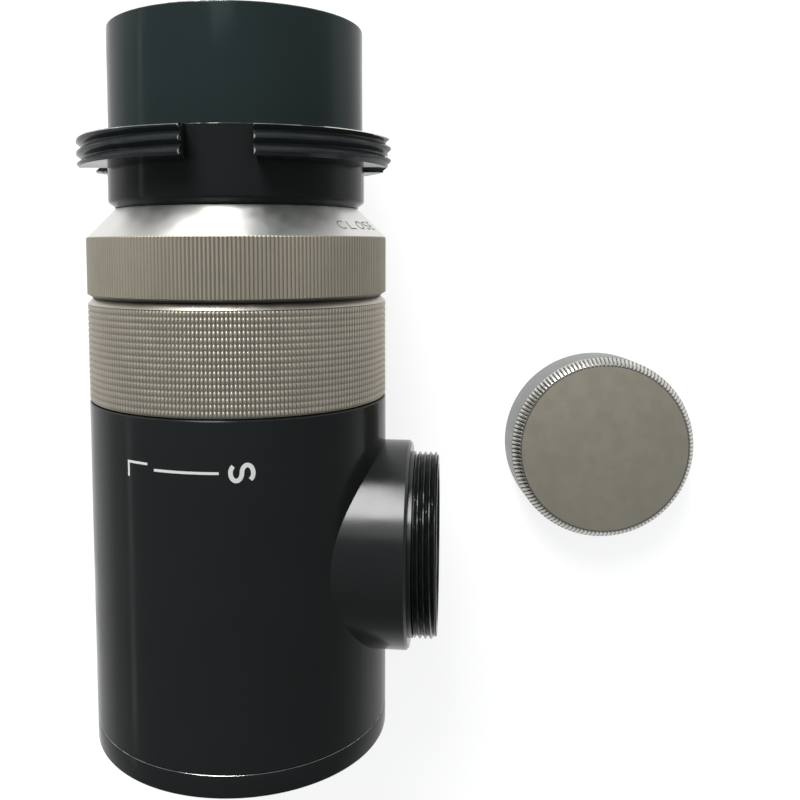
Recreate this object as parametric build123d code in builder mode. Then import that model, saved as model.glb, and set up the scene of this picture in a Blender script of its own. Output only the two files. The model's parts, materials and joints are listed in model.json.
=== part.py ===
from build123d import *
import os
from math import atan2, cos, degrees, radians, sin, sqrt

# A relay-lens adapter for telescopes: a barrel with a 2-inch nosepiece, a focus ring, a lock ring
# and a threaded side port with its loose screw cap. The frame is millimetres, +Z up. X runs along
# the optical axis from the rear face (X = 0) to the nosepiece. The barrel lies on its side on the
# plane Z = FLOOR, with the side port towards -Y, and the cap stands beside it on the same plane.

# ------------------------------------------------------------------ driving dimensions
NOSE_R = 25.4               # the 2-inch nosepiece
BODY_R = 30.1               # barrel, end ring and both grip rings
FLANGE_R = 31.5             # crests of the interrupted thread
FLANGE_GAP = 12.6           # width of each of the four gaps in that thread

REAR_RING_END = 4.5         # stations along X
BODY_END = 69.25
ADJUST_START = 69.55
ADJUST_END = 89.75
LOCK_START = 90.15
LOCK_CONE = 101.3
LOCK_END = 107.1
FLANGE_START = 115.1
FLANGE_END = 121.1
NOSE_END = 142.2

PORT_X = 38.9               # side port
PORT_RISE = 7.2             # degrees above the horizontal
COLLAR_R = 20.9
COLLAR_END = 35.5           # distances from the optical axis
NIPPLE_R = 18.6
NIPPLE_END = 41.0

ADJUST_TURN = 39.0          # degrees between the two ends of the scale
LENS_TRAVEL = 8.0
LOCK_TURN = 60.0            # degrees between closed and open

CAP_X = 52.7                # cap
CAP_Y = -81.8
CAP_R = 21.2
CAP_HEIGHT = 11.4

# ------------------------------------------------------------------ inner dimensions
RUN = 0.05                  # radial clearance of a running fit
GAP = 0.1                   # axial clearance beside a turning ring
EDGE = 0.2                  # small broken edge
SKIN = 0.01                 # a cut starts this far outside the surface
CHAMFER = 0.5               # chamfer on an outer end
LIP = 1.5                   # height of the lip that a lens stands on
RETAINER_WALL = 1.8         # of the ring that holds a lens against its lip

BORE_R = 26.0               # barrel bore
SLEEVE_R = 27.4             # cam sleeve, outside
SLEEVE_BORE = 25.4
SLEEVE_START = 58.0
SLEEVE_END = 89.9
SPIGOT_R = 22.6             # nosepiece spigot, turning in the hub
SPIGOT_START = 90.6
HUB_R = 26.0
HUB_FLANGE_R = 28.0
HUB_END = 100.0
PIN_START = 74.5            # station of the cam pins at the short setting
PIN_R = 1.4
PIN_COUNT = 3
KEY_R = 28.65               # floor of the keyways in the adjusting ring
REAR_THREAD_R = 20.6        # female thread of the rear end
FILTER_THREAD_R = 23.9      # female thread in the nosepiece's mouth
PORT_BORE_R = 12.8
BOSS_R = 17.2               # nipple's thread inside the collar
PRISM = 25.4                # edge of the beam-splitter cube
CAGE_SIDE = 34.0
CAGE_START = 22.0
CAGE_END = 56.0

FLOOR = -sqrt(FLANGE_R**2 - (FLANGE_GAP / 2) ** 2)

PORT_AXIS = Vector(0, -cos(radians(PORT_RISE)), sin(radians(PORT_RISE)))
PORT_ORIGIN = Vector(PORT_X, 0, 0)
CAP_ORIGIN = Vector(CAP_X, CAP_Y, FLOOR)

# Section planes. A point on one is (distance along the axis, radius).
BARREL = Plane.XZ
PORT = Plane(origin=PORT_ORIGIN, x_dir=PORT_AXIS, z_dir=PORT_AXIS.cross(Vector(1, 0, 0)))
CAP = Plane(origin=CAP_ORIGIN, x_dir=(0, 0, 1), z_dir=(0, -1, 0))


def turn(section, *outline, mode=Mode.ADD):
    """Turn a closed outline of (distance, radius) points about its section plane's axis."""
    with BuildSketch(section) as profile:
        with BuildLine():
            Polyline(*outline, close=True)
        make_face()
    revolve(profile.sketch, axis=Axis(section.origin, section.x_dir), mode=mode)


def turn_tube(section, start, end, outer, inner, mode=Mode.ADD):
    """Turn a plain tube, or a disc when the inner radius is 0."""
    turn(section, (start, inner), (start, outer), (end, outer), (end, inner), mode=mode)


def turn_lens(section, rear, front, radius, rear_bulge, front_bulge):
    """Turn a lens with its rim from rear to front. A bulge is how far a face stands out."""
    with BuildSketch(section) as profile:
        with BuildLine():
            if rear_bulge:
                TangentArc((rear - rear_bulge, 0), (rear, radius), tangent=(0, 1))
            else:
                Line((rear, 0), (rear, radius))
            Line((rear, radius), (front, radius))
            if front_bulge:
                TangentArc((front + front_bulge, 0), (front, radius), tangent=(0, 1))
            else:
                Line((front, 0), (front, radius))
            Line((front + front_bulge, 0), (rear - rear_bulge, 0))
        make_face()
    revolve(profile.sketch, axis=Axis(section.origin, section.x_dir))


def across(angle, distance=0.0, station=0.0):
    """A plane square to the radius at an angle from +Y towards +Z, X along the barrel."""
    out = Vector(0, cos(radians(angle)), sin(radians(angle)))
    return Plane(origin=Vector(station, 0, 0) + out * distance, x_dir=(1, 0, 0), z_dir=out)


def on_port(distance):
    """A plane square to the port's axis, at a distance from the optical axis."""
    return Plane(origin=PORT_ORIGIN + PORT_AXIS * distance, x_dir=(1, 0, 0), z_dir=PORT_AXIS)


def save(piece, name):
    """Label a finished piece and write it to its own STEP file."""
    piece.part.label = name
    export_step(piece.part, f"parts/{name}.step")


os.makedirs("parts", exist_ok=True)

# ------------------------------------------------------------------ rear end
REAR_BOSS_END = 12.5
REAR_LENS_R = 19.0
REAR_LENS_SEAT = 8.0
REAR_LENS_EDGE = 2.4
REAR_LENS_HOLLOW = 1.0      # depth of the concave front face
REAR_LENS_FRONT = REAR_LENS_SEAT + REAR_LENS_EDGE
LIP_THICK = 1.0
BAFFLE_WALL = 1.5
BAFFLE_STOP_X = 17.0        # knife-edged stop inside the baffle
BAFFLE_STOP_R = 15.0
BAFFLE_STOP_THICK = 1.2

with BuildPart() as rear_end_ring:
    turn(
        BARREL,
        (0, REAR_THREAD_R),
        (0, BODY_R - CHAMFER),
        (CHAMFER, BODY_R),
        (REAR_RING_END - EDGE, BODY_R),
        (REAR_RING_END, BODY_R - EDGE),
        (REAR_RING_END, BORE_R),
        (REAR_BOSS_END, BORE_R),
        (REAR_BOSS_END, REAR_LENS_R),
        (REAR_LENS_SEAT, REAR_LENS_R),
        (REAR_LENS_SEAT, REAR_LENS_R - LIP),
        (REAR_LENS_SEAT - LIP_THICK, REAR_LENS_R - LIP),
        (REAR_LENS_SEAT - LIP_THICK, REAR_THREAD_R),
    )
save(rear_end_ring, "rear_end_ring")

with BuildPart() as rear_lens:
    turn_lens(BARREL, REAR_LENS_SEAT, REAR_LENS_FRONT, REAR_LENS_R, 0, -REAR_LENS_HOLLOW)
save(rear_lens, "rear_lens")

with BuildPart() as rear_lens_retainer:
    turn_tube(BARREL, REAR_LENS_FRONT, REAR_BOSS_END, REAR_LENS_R, REAR_LENS_R - RETAINER_WALL)
save(rear_lens_retainer, "rear_lens_retainer")

with BuildPart() as rear_baffle:
    turn_tube(BARREL, REAR_BOSS_END, CAGE_START, BORE_R, BORE_R - BAFFLE_WALL)
    turn(
        BARREL,
        (BAFFLE_STOP_X, BAFFLE_STOP_R),
        (BAFFLE_STOP_X + BAFFLE_STOP_THICK, BAFFLE_STOP_R + BAFFLE_STOP_THICK),
        (BAFFLE_STOP_X + BAFFLE_STOP_THICK, BORE_R - BAFFLE_WALL / 2),
        (BAFFLE_STOP_X, BORE_R - BAFFLE_WALL / 2),
    )
save(rear_baffle, "rear_baffle")

# ------------------------------------------------------------------ barrel and side port
SCREW_CIRCLE = 18.0         # screws that hold the collar, about the port's axis
SCREW_R = 1.0
SCREW_HEAD_R = 1.9
SCREW_HEAD = 1.25           # height of the heads
SCREW_SEAT = 25.0           # underside of the heads, from the optical axis
SCREW_END = 31.0
COLLAR_SPIGOT_R = 13.7
COLLAR_SPIGOT_START = 24.5
COLLAR_ROOT = 15.0          # the collar is turned from here, then fitted to the barrel
NIPPLE_SEAT = 33.0

with BuildPart() as main_barrel:
    turn(
        BARREL,
        (REAR_RING_END, BORE_R),
        (REAR_RING_END, BODY_R - EDGE),
        (REAR_RING_END + EDGE, BODY_R),
        (BODY_END - EDGE, BODY_R),
        (BODY_END, BODY_R - EDGE),
        (BODY_END, SLEEVE_R),
        (SLEEVE_START, SLEEVE_R),
        (SLEEVE_START, BORE_R),
    )
    turn_tube(PORT, 0, BODY_R + 1, COLLAR_SPIGOT_R, 0, mode=Mode.SUBTRACT)
    with BuildSketch(on_port(0)) as screw_seats:
        with PolarLocations(SCREW_CIRCLE, 4, start_angle=45):
            Circle(SCREW_HEAD_R)
    extrude(screw_seats.sketch, amount=SCREW_SEAT, mode=Mode.SUBTRACT)
    with BuildSketch(on_port(0)) as screw_holes:
        with PolarLocations(SCREW_CIRCLE, 4, start_angle=45):
            Circle(SCREW_R)
    extrude(screw_holes.sketch, amount=SCREW_END, mode=Mode.SUBTRACT)
save(main_barrel, "main_barrel")

with BuildPart() as side_port_collar:
    turn(
        PORT,
        (COLLAR_ROOT, PORT_BORE_R),
        (COLLAR_ROOT, COLLAR_R),
        (COLLAR_END - CHAMFER, COLLAR_R),
        (COLLAR_END, COLLAR_R - CHAMFER),
        (COLLAR_END, BOSS_R),
        (NIPPLE_SEAT, BOSS_R),
        (NIPPLE_SEAT, PORT_BORE_R),
    )
    turn_tube(BARREL, 0, BODY_END, BODY_R, 0, mode=Mode.SUBTRACT)
    turn_tube(PORT, COLLAR_SPIGOT_START, NIPPLE_SEAT, COLLAR_SPIGOT_R, PORT_BORE_R)
    with BuildSketch(on_port(0)) as tapped_holes:
        with PolarLocations(SCREW_CIRCLE, 4, start_angle=45):
            Circle(SCREW_R)
    extrude(tapped_holes.sketch, amount=SCREW_END, mode=Mode.SUBTRACT)
save(side_port_collar, "side_port_collar")

with BuildPart() as collar_screws:
    with BuildSketch(on_port(SCREW_SEAT - SCREW_HEAD)) as heads:
        with PolarLocations(SCREW_CIRCLE, 4, start_angle=45):
            Circle(SCREW_HEAD_R)
    extrude(heads.sketch, amount=SCREW_HEAD)
    with BuildSketch(on_port(SCREW_SEAT - SCREW_HEAD)) as shanks:
        with PolarLocations(SCREW_CIRCLE, 4, start_angle=45):
            Circle(SCREW_R)
    extrude(shanks.sketch, amount=SCREW_END - SCREW_SEAT + SCREW_HEAD)
save(collar_screws, "collar_screws")

WINDOW_R = 15.8
WINDOW_LIP_R = 14.4
WINDOW_SEAT = 34.0
WINDOW_FRONT = 36.0
PORT_MOUTH_START = 37.5     # the window's retainer ends here
FIRST_ROOT = 37.0           # of the thread, past a plain land
NIPPLE_PITCH = 1.1
NIPPLE_BORE_R = 16.3
THREAD_DEPTH = 0.6
THREAD_HALF = 0.5           # half the width of a root at the crests
THREAD_CHAMFER = 0.4

with BuildPart() as side_port_nipple:
    turn(
        PORT,
        (NIPPLE_SEAT, WINDOW_LIP_R),
        (NIPPLE_SEAT, BOSS_R),
        (COLLAR_END, BOSS_R),
        (COLLAR_END, NIPPLE_R),
        (NIPPLE_END - THREAD_CHAMFER, NIPPLE_R),
        (NIPPLE_END, NIPPLE_R - THREAD_CHAMFER),
        (NIPPLE_END, NIPPLE_BORE_R),
        (PORT_MOUTH_START, NIPPLE_BORE_R),
        (PORT_MOUTH_START, WINDOW_R),
        (WINDOW_SEAT, WINDOW_R),
        (WINDOW_SEAT, WINDOW_LIP_R),
    )
    for number in range(4):
        root = FIRST_ROOT + NIPPLE_PITCH * number
        turn(
            PORT,
            (root - THREAD_HALF, NIPPLE_R + SKIN),
            (root, NIPPLE_R - THREAD_DEPTH),
            (root + THREAD_HALF, NIPPLE_R + SKIN),
            mode=Mode.SUBTRACT,
        )
save(side_port_nipple, "side_port_nipple")

with BuildPart() as port_window:
    turn_tube(PORT, WINDOW_SEAT, WINDOW_FRONT, WINDOW_R, 0)
save(port_window, "port_window")

with BuildPart() as port_window_retainer:
    turn_tube(PORT, WINDOW_FRONT, PORT_MOUTH_START, WINDOW_R, WINDOW_LIP_R)
save(port_window_retainer, "port_window_retainer")

# ------------------------------------------------------------------ beam splitter
CAGE_DISC = 3.0             # thickness of the cage's end discs
LIGHT_R = 11.0
CEMENT = 0.05
COVER = 1.4                 # thickness of the cover plates
COVER_LENGTH = 27.8
COVER_WIDTH = 33.0
COVER_SCREW_R = 0.8
COVER_SCREW_DEPTH = 4.0
COVER_SCREW_HEAD_R = 1.5
COVER_SCREW_HEAD = 0.9
COVER_SCREW_ALONG = 21.6
COVER_SCREW_ACROSS = 29.6
PAD_SIDE = 18.0
CAGE_RING_WALL = 5.0
CAGE_MIDDLE = Plane(origin=PORT_ORIGIN, x_dir=PORT_AXIS, z_dir=(1, 0, 0))
CAGE_UP = CAGE_MIDDLE.y_dir
CAGE_FACES = [
    Plane(origin=PORT_ORIGIN + CAGE_UP * side * CAGE_SIDE / 2, x_dir=(1, 0, 0), z_dir=CAGE_UP * side)
    for side in (1, -1)
]
PRISM_SECTION = Plane(origin=PORT_ORIGIN - CAGE_UP * PRISM / 2, x_dir=(1, 0, 0), z_dir=CAGE_UP)


def cover_screw_circles(radius):
    """Four circles at the corners of a cover plate."""
    with GridLocations(COVER_SCREW_ALONG, COVER_SCREW_ACROSS, 2, 2):
        Circle(radius)


with BuildPart() as prism_cage:
    with BuildSketch(CAGE_MIDDLE.offset(CAGE_START - PORT_X)) as block:
        Rectangle(CAGE_SIDE, CAGE_SIDE)
    extrude(block.sketch, amount=CAGE_END - CAGE_START)
    turn_tube(BARREL, CAGE_START, CAGE_START + CAGE_DISC, BORE_R, 0)
    turn_tube(BARREL, CAGE_END - CAGE_DISC, CAGE_END, BORE_R, 0)
    with BuildSketch(CAGE_FACES[1]) as pocket:
        Rectangle(PRISM + 2 * CEMENT, PRISM + 2 * CEMENT)
    extrude(pocket.sketch, amount=-CAGE_SIDE, mode=Mode.SUBTRACT)
    turn_tube(BARREL, CAGE_START, CAGE_END, LIGHT_R, 0, mode=Mode.SUBTRACT)
    turn_tube(PORT, 0, BORE_R, LIGHT_R, 0, mode=Mode.SUBTRACT)
    for face in CAGE_FACES:
        with BuildSketch(face) as taps:
            cover_screw_circles(COVER_SCREW_R)
        extrude(taps.sketch, amount=-COVER_SCREW_DEPTH, mode=Mode.SUBTRACT)
save(prism_cage, "prism_cage")

for prism_name, side in (("prism_rear_half", -1), ("prism_front_half", 1)):
    corner = side * PRISM / 2
    with BuildPart() as prism_half:
        with BuildSketch(PRISM_SECTION) as triangle:
            with BuildLine():
                Polyline(
                    (corner, -corner),
                    (corner, corner - side * CEMENT),
                    (-corner + side * CEMENT, -corner),
                    close=True,
                )
            make_face()
        extrude(triangle.sketch, amount=PRISM)
    save(prism_half, prism_name)

with BuildPart() as prism_pads:
    for face in CAGE_FACES:
        with BuildSketch(face) as pad:
            Rectangle(PAD_SIDE, PAD_SIDE)
        extrude(pad.sketch, amount=(PRISM - CAGE_SIDE) / 2)
save(prism_pads, "prism_pads")

for cover_name, face in zip(("prism_cover_upper", "prism_cover_lower"), CAGE_FACES):
    with BuildPart() as prism_cover:
        with BuildSketch(face) as plate:
            Rectangle(COVER_LENGTH, COVER_WIDTH)
        extrude(plate.sketch, amount=COVER)
        with BuildSketch(face) as holes:
            cover_screw_circles(COVER_SCREW_R)
        extrude(holes.sketch, amount=COVER, mode=Mode.SUBTRACT)
    save(prism_cover, cover_name)

with BuildPart() as cover_screws:
    for face in CAGE_FACES:
        with BuildSketch(face.offset(-COVER_SCREW_DEPTH)) as screw_shanks:
            cover_screw_circles(COVER_SCREW_R)
        extrude(screw_shanks.sketch, amount=COVER_SCREW_DEPTH + COVER)
        with BuildSketch(face.offset(COVER)) as screw_tops:
            cover_screw_circles(COVER_SCREW_HEAD_R)
        extrude(screw_tops.sketch, amount=COVER_SCREW_HEAD)
save(cover_screws, "cover_screws")

with BuildPart() as cage_lock_ring:
    turn_tube(BARREL, CAGE_END, SLEEVE_START, BORE_R, BORE_R - CAGE_RING_WALL)
save(cage_lock_ring, "cage_lock_ring")

# ------------------------------------------------------------------ focus: sleeve, ring, lens cell
SLOT_R = 1.7                # half width of the inclined slots
SLOT_STEPS = 6
O_RING_X = 71.0
O_RING_R = 0.5
O_RING_GROOVE = O_RING_R + RUN
PIN_ANGLES = [90 + 360 / PIN_COUNT * number for number in range(PIN_COUNT)]
HUB_SCREW_X = 87.9
HUB_SCREW_R = 0.8
HUB_SCREW_ANGLES = [30, 150, 270]
GRUB_INSET = 0.3            # the grub screws stand this far below both surfaces

with BuildPart() as cam_sleeve:
    turn_tube(BARREL, SLEEVE_START, SLEEVE_END, SLEEVE_R, SLEEVE_BORE)
    turn_tube(
        BARREL,
        O_RING_X - O_RING_GROOVE,
        O_RING_X + O_RING_GROOVE,
        SLEEVE_R + EDGE,
        SLEEVE_R - 2 * O_RING_R,
        mode=Mode.SUBTRACT,
    )
    # Each slot is a helix, cut as short straight slots, each square to its own radius.
    for pin_angle in PIN_ANGLES:
        for step in range(SLOT_STEPS):
            part_way = (step + 0.5) / SLOT_STEPS
            length = LENS_TRAVEL / SLOT_STEPS
            width = radians(ADJUST_TURN) / SLOT_STEPS * (SLEEVE_R + SLEEVE_BORE) / 2
            seat = across(pin_angle - ADJUST_TURN * part_way, 0, PIN_START + LENS_TRAVEL * part_way)
            with BuildSketch(seat) as slot:
                SlotCenterToCenter(
                    sqrt(length**2 + width**2), 2 * SLOT_R, rotation=degrees(atan2(width, length))
                )
            extrude(slot.sketch, amount=SLEEVE_R + 1, mode=Mode.SUBTRACT)
    for angle in HUB_SCREW_ANGLES:
        with BuildSketch(across(angle, 0, HUB_SCREW_X)) as grub_hole:
            Circle(HUB_SCREW_R)
        extrude(grub_hole.sketch, amount=SLEEVE_R + 1, mode=Mode.SUBTRACT)
save(cam_sleeve, "cam_sleeve")

with BuildPart() as adjust_o_ring:
    with BuildSketch(BARREL) as cord:
        with Locations((O_RING_X, SLEEVE_R - O_RING_R)):
            Circle(O_RING_R)
    revolve(cord.sketch, axis=Axis.X)
save(adjust_o_ring, "adjust_o_ring")

ADJUST_CHAMFER = 1.2        # on the front of the adjusting ring
KEYWAY_LENGTH = LENS_TRAVEL + 8

with BuildPart() as adjust_ring:
    turn(
        BARREL,
        (ADJUST_START, SLEEVE_R + RUN),
        (ADJUST_START, BODY_R - EDGE),
        (ADJUST_START + EDGE, BODY_R),
        (ADJUST_END - ADJUST_CHAMFER, BODY_R),
        (ADJUST_END, BODY_R - ADJUST_CHAMFER),
        (ADJUST_END, SLEEVE_R + RUN),
    )
    # Keyways, open towards the barrel, carry the cam pins round and let them slide.
    for pin_angle in PIN_ANGLES:
        with BuildSketch(across(pin_angle, SLEEVE_R - 1, PIN_START)) as keyway:
            with Locations((LENS_TRAVEL / 2 - 1, 0)):
                Rectangle(KEYWAY_LENGTH, 2 * (PIN_R + GAP))
        extrude(keyway.sketch, amount=KEY_R - SLEEVE_R + 1, mode=Mode.SUBTRACT)
save(adjust_ring, "adjust_ring")

CELL_START = 70.5
CELL_END = 78.5
CELL_R = SLEEVE_BORE - RUN
DOUBLET_R = 17.0
DOUBLET_SEAT = 71.6
CROWN_BULGE = 1.3
CROWN_END = DOUBLET_SEAT + 1.8
FLINT_END = CROWN_END + 2.6
CELL_RETAINER_END = CELL_END - 0.4
PIN_ROOT_R = DOUBLET_R + 2

with BuildPart() as lens_cell:
    turn(
        BARREL,
        (CELL_START, DOUBLET_R - LIP),
        (CELL_START, CELL_R - EDGE),
        (CELL_START + EDGE, CELL_R),
        (CELL_END - EDGE, CELL_R),
        (CELL_END, CELL_R - EDGE),
        (CELL_END, DOUBLET_R),
        (DOUBLET_SEAT, DOUBLET_R),
        (DOUBLET_SEAT, DOUBLET_R - LIP),
    )
    for pin_angle in PIN_ANGLES:
        with BuildSketch(across(pin_angle, PIN_ROOT_R, PIN_START)) as pin_hole:
            Circle(PIN_R)
        extrude(pin_hole.sketch, amount=CELL_R, mode=Mode.SUBTRACT)
save(lens_cell, "lens_cell")

with BuildPart() as crown_element:
    turn_lens(BARREL, DOUBLET_SEAT, CROWN_END, DOUBLET_R - RUN, 0, CROWN_BULGE - CEMENT)
save(crown_element, "crown_element")

with BuildPart() as flint_element:
    turn_lens(BARREL, CROWN_END + CEMENT, FLINT_END, DOUBLET_R - RUN, -CROWN_BULGE, 0)
save(flint_element, "flint_element")

with BuildPart() as cell_retainer:
    turn_tube(BARREL, FLINT_END, CELL_RETAINER_END, DOUBLET_R, DOUBLET_R - RETAINER_WALL)
save(cell_retainer, "cell_retainer")

with BuildPart() as cam_pins:
    for pin_angle in PIN_ANGLES:
        with BuildSketch(across(pin_angle, PIN_ROOT_R, PIN_START)) as pin:
            Circle(PIN_R)
        extrude(pin.sketch, amount=KEY_R - GAP - PIN_ROOT_R)
save(cam_pins, "cam_pins")

WASHER_R = 29.2

with BuildPart() as thrust_washer:
    turn_tube(BARREL, ADJUST_END + RUN, LOCK_START - RUN, WASHER_R, SLEEVE_R + RUN)
save(thrust_washer, "thrust_washer")

# ------------------------------------------------------------------ hub, collet and lock ring
HUB_START = 86.8
HUB_FLANGE_END = LOCK_START + 2.3
CLIP_START = 91.4
CLIP_END = 92.4
CLIP_POCKET_END = 93.2
CLIP_POCKET_R = 23.7
CLIP_DEPTH = 1.0            # of its groove in the spigot
CLIP_R = CLIP_POCKET_R - 0.3
CLIP_OPENING = 8.0
STOP_R = 27.05              # circle that the stop pin stands on
STOP_PIN_R = 0.8
STOP_ANGLE = 200.0
STOP_END = 95.0
COLLET_START = HUB_END + GAP
COLLET_END = 105.0
COLLET_R = 25.3
COLLET_TAPER = 2.3
COLLET_TAPER_START = 102.6
COLLET_SPLIT = 1.2

with BuildPart() as front_hub:
    turn(
        BARREL,
        (HUB_START, CLIP_POCKET_R),
        (HUB_START, SLEEVE_BORE),
        (SLEEVE_END, SLEEVE_BORE),
        (SLEEVE_END, SLEEVE_R),
        (LOCK_START, SLEEVE_R),
        (LOCK_START, HUB_FLANGE_R),
        (HUB_FLANGE_END, HUB_FLANGE_R),
        (HUB_FLANGE_END, HUB_R),
        (HUB_END, HUB_R),
        (HUB_END, SPIGOT_R + RUN),
        (CLIP_POCKET_END, SPIGOT_R + RUN),
        (CLIP_POCKET_END, CLIP_POCKET_R),
    )
    for angle in HUB_SCREW_ANGLES:
        with BuildSketch(across(angle, 0, HUB_SCREW_X)) as grub_hole:
            Circle(HUB_SCREW_R)
        extrude(grub_hole.sketch, amount=SLEEVE_R - GAP, mode=Mode.SUBTRACT)
    with BuildSketch(Plane.YZ.offset(LOCK_START)) as stop_hole:
        with PolarLocations(STOP_R, 1, start_angle=STOP_ANGLE):
            Circle(STOP_PIN_R)
    extrude(stop_hole.sketch, amount=STOP_END - LOCK_START, mode=Mode.SUBTRACT)
save(front_hub, "front_hub")

with BuildPart() as hub_screws:
    for angle in HUB_SCREW_ANGLES:
        with BuildSketch(across(angle, CLIP_POCKET_R + GRUB_INSET, HUB_SCREW_X)) as grub:
            Circle(HUB_SCREW_R)
        extrude(grub.sketch, amount=SLEEVE_R - CLIP_POCKET_R - 2 * GRUB_INSET)
save(hub_screws, "hub_screws")

with BuildPart() as lock_stop_pin:
    with BuildSketch(Plane.YZ.offset(LOCK_START)) as stop:
        with PolarLocations(STOP_R, 1, start_angle=STOP_ANGLE):
            Circle(STOP_PIN_R)
    extrude(stop.sketch, amount=STOP_END - LOCK_START)
save(lock_stop_pin, "lock_stop_pin")

with BuildPart() as collet:
    turn(
        BARREL,
        (COLLET_START, SPIGOT_R + RUN),
        (COLLET_START, COLLET_R),
        (COLLET_TAPER_START, COLLET_R),
        (COLLET_END, COLLET_R - COLLET_TAPER),
        (COLLET_END, SPIGOT_R + RUN),
    )
    with BuildSketch(Plane.YZ.offset(COLLET_START)) as split_gap:
        with Locations((-SPIGOT_R, 0)):
            Rectangle(4 * COLLET_TAPER, COLLET_SPLIT)
    extrude(split_gap.sketch, amount=COLLET_END - COLLET_START, mode=Mode.SUBTRACT)
save(collet, "collet")

LOCK_CHAMFER = 0.25
LOCK_BORE_R = SPIGOT_R + 3 * RUN
LOCK_TAPER_START = 103.0    # inner cone that squeezes the collet
LOCK_TAPER_END = 105.4
LOCK_TAPER_R = COLLET_R + 0.4
LOCK_TAPER_END_R = COLLET_R - 2.0
STOP_SLOT_START = LOCK_START + 2
STOP_PLAY = 0.5             # degrees of slot past each end of the lock's turn
stop_path = CenterArc((0, 0), STOP_R, STOP_ANGLE - LOCK_TURN - STOP_PLAY, LOCK_TURN + 2 * STOP_PLAY)

with BuildPart() as lock_ring:
    turn(
        BARREL,
        (LOCK_START, HUB_FLANGE_R + RUN),
        (LOCK_START, BODY_R - LOCK_CHAMFER),
        (LOCK_START + LOCK_CHAMFER, BODY_R),
        (LOCK_CONE, BODY_R),
        (LOCK_END, BODY_R - (LOCK_END - LOCK_CONE)),
        (LOCK_END, LOCK_BORE_R),
        (LOCK_TAPER_END, LOCK_BORE_R),
        (LOCK_TAPER_END, LOCK_TAPER_END_R),
        (LOCK_TAPER_START, LOCK_TAPER_R),
        (HUB_END + 3 * GAP, LOCK_TAPER_R),
        (HUB_END + 3 * GAP, HUB_R + RUN),
        (HUB_FLANGE_END + GAP, HUB_R + RUN),
        (HUB_FLANGE_END + GAP, HUB_FLANGE_R + RUN),
    )
    # The stop pin runs in this arc, from closed to open.
    with BuildSketch(Plane.YZ.offset(STOP_SLOT_START)) as stop_arc:
        SlotArc(stop_path, 2 * (STOP_PIN_R + 3 * RUN))
    extrude(stop_arc.sketch, amount=STOP_END + 3 * GAP - STOP_SLOT_START, mode=Mode.SUBTRACT)
save(lock_ring, "lock_ring")

# ------------------------------------------------------------------ nosepiece
LOWER_TUBE_R = 25.7
SPIGOT_WALL = 1.8
NECK_R = 24.5               # groove between the lock ring and the lower tube
NECK_START = LOCK_END + GAP
NECK_END = 108.2
NECK_CHAMFER_END = 109.4
JOINT_R = 24.0              # thread that joins the tube to the base
JOINT_START = 112.0
THREAD_PITCH = 2.3
CREST_DEPTH = 1.0
CREST_HALF = 0.35           # half the width of a crest's flat top
FRONT_CONE = 0.65           # how far the thread's front face slopes back, from tube to crest
CREST_STATIONS = [FLANGE_END - 0.7 - THREAD_PITCH * number for number in range(3)]

with BuildPart() as nosepiece_base:
    turn(
        BARREL,
        (SPIGOT_START, SPIGOT_R - SPIGOT_WALL),
        (SPIGOT_START, SPIGOT_R - EDGE),
        (SPIGOT_START + EDGE, SPIGOT_R),
        (NECK_START, SPIGOT_R),
        (NECK_START, NECK_R),
        (NECK_END, NECK_R),
        (NECK_CHAMFER_END, LOWER_TUBE_R),
        (FLANGE_START, LOWER_TUBE_R),
        (FLANGE_START, FLANGE_R - CHAMFER),
        (FLANGE_START + CHAMFER, FLANGE_R),
        (FLANGE_END - FRONT_CONE, FLANGE_R),
        (FLANGE_END, LOWER_TUBE_R),
        (FLANGE_END, JOINT_R),
        (JOINT_START, JOINT_R),
        (JOINT_START, SPIGOT_R - SPIGOT_WALL),
    )
    turn_tube(BARREL, CLIP_START, CLIP_END, CLIP_R, SPIGOT_R - CLIP_DEPTH, mode=Mode.SUBTRACT)
    for crest, next_crest in zip(CREST_STATIONS, CREST_STATIONS[1:]):
        turn(
            BARREL,
            (crest - CREST_HALF, FLANGE_R + SKIN),
            ((crest + next_crest) / 2, FLANGE_R - CREST_DEPTH),
            (next_crest + CREST_HALF, FLANGE_R + SKIN),
            mode=Mode.SUBTRACT,
        )
    # Four gaps break the thread, so that it goes in straight and locks in a quarter turn.
    with BuildSketch(Plane.YZ.offset(FLANGE_START)) as gaps:
        with PolarLocations(FLANGE_R, 4):
            Rectangle(2 * (FLANGE_R - LOWER_TUBE_R) + 2, FLANGE_GAP)
        Circle(LOWER_TUBE_R, mode=Mode.SUBTRACT)
    extrude(gaps.sketch, amount=FLANGE_END - FLANGE_START, mode=Mode.SUBTRACT)
save(nosepiece_base, "nosepiece_base")

with BuildPart() as spigot_clip:
    turn_tube(BARREL, CLIP_START, CLIP_END, CLIP_R, SPIGOT_R - CLIP_DEPTH)
    with BuildSketch(Plane.YZ.offset(CLIP_START)) as clip_gap:
        with Locations((0, -SPIGOT_R)):
            Rectangle(CLIP_R - SPIGOT_R + 4 * CLIP_DEPTH, CLIP_OPENING)
    extrude(clip_gap.sketch, amount=CLIP_END - CLIP_START, mode=Mode.SUBTRACT)
save(spigot_clip, "spigot_clip")

NOSE_BORE_R = 23.0
NOSE_SEAT = 126.0
NOSE_LENS_FRONT = 128.2
NOSE_LENS_HOLLOW = 1.2      # depth of the concave front face
NOSE_RETAINER_END = 130.0
NOSE_CHAMFER = 0.4
FILTER_THREAD_START = 137.5

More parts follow.
